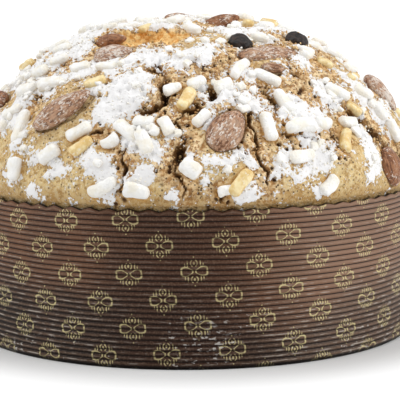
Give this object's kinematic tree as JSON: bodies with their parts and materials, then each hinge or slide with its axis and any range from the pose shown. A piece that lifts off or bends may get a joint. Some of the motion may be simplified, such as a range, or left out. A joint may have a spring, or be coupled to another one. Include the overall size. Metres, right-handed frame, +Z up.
{
  "type": "panettone",
  "caption": "Low domed sweet bread in its fluted paper baking case, with a cracked crust set with almonds, raisins and pearl sugar.",
  "frame": {"origin": "centre of the flat underside of the paper case, where it rests", "axes": "+Z up through the top of the dome; the side shown in the picture faces -Y, with +X to its right"},
  "size_m": [0.2112, 0.2143, 0.1466],
  "materials": {
    "paper": "matte",
    "crust": "matte",
    "sugar": "matte",
    "almond_skin": "satin",
    "raisin": "satin"
  },
  "bodies": {
    "root": {"almond_01": "almond_skin", "almond_02": "almond_skin", "almond_03": "almond_skin", "almond_04": "almond_skin", "almond_05": "almond_skin", "almond_06": "almond_skin", "almond_07": "almond_skin", "almond_08": "almond_skin", "almond_09": "almond_skin", "almond_10": "almond_skin", "almond_11": "almond_skin", "almond_12": "almond_skin", "almond_13": "almond_skin", "almond_14": "almond_skin", "almond_15": "almond_skin", "almond_16": "almond_skin", "almond_17": "almond_skin", "almond_18": "almond_skin", "almond_19": "almond_skin", "cake": "crust", "paper_case": "paper", "raisin_01": "raisin", "raisin_02": "raisin", "raisin_03": "raisin", "raisin_04": "raisin"}
  },
  "joints": []
}
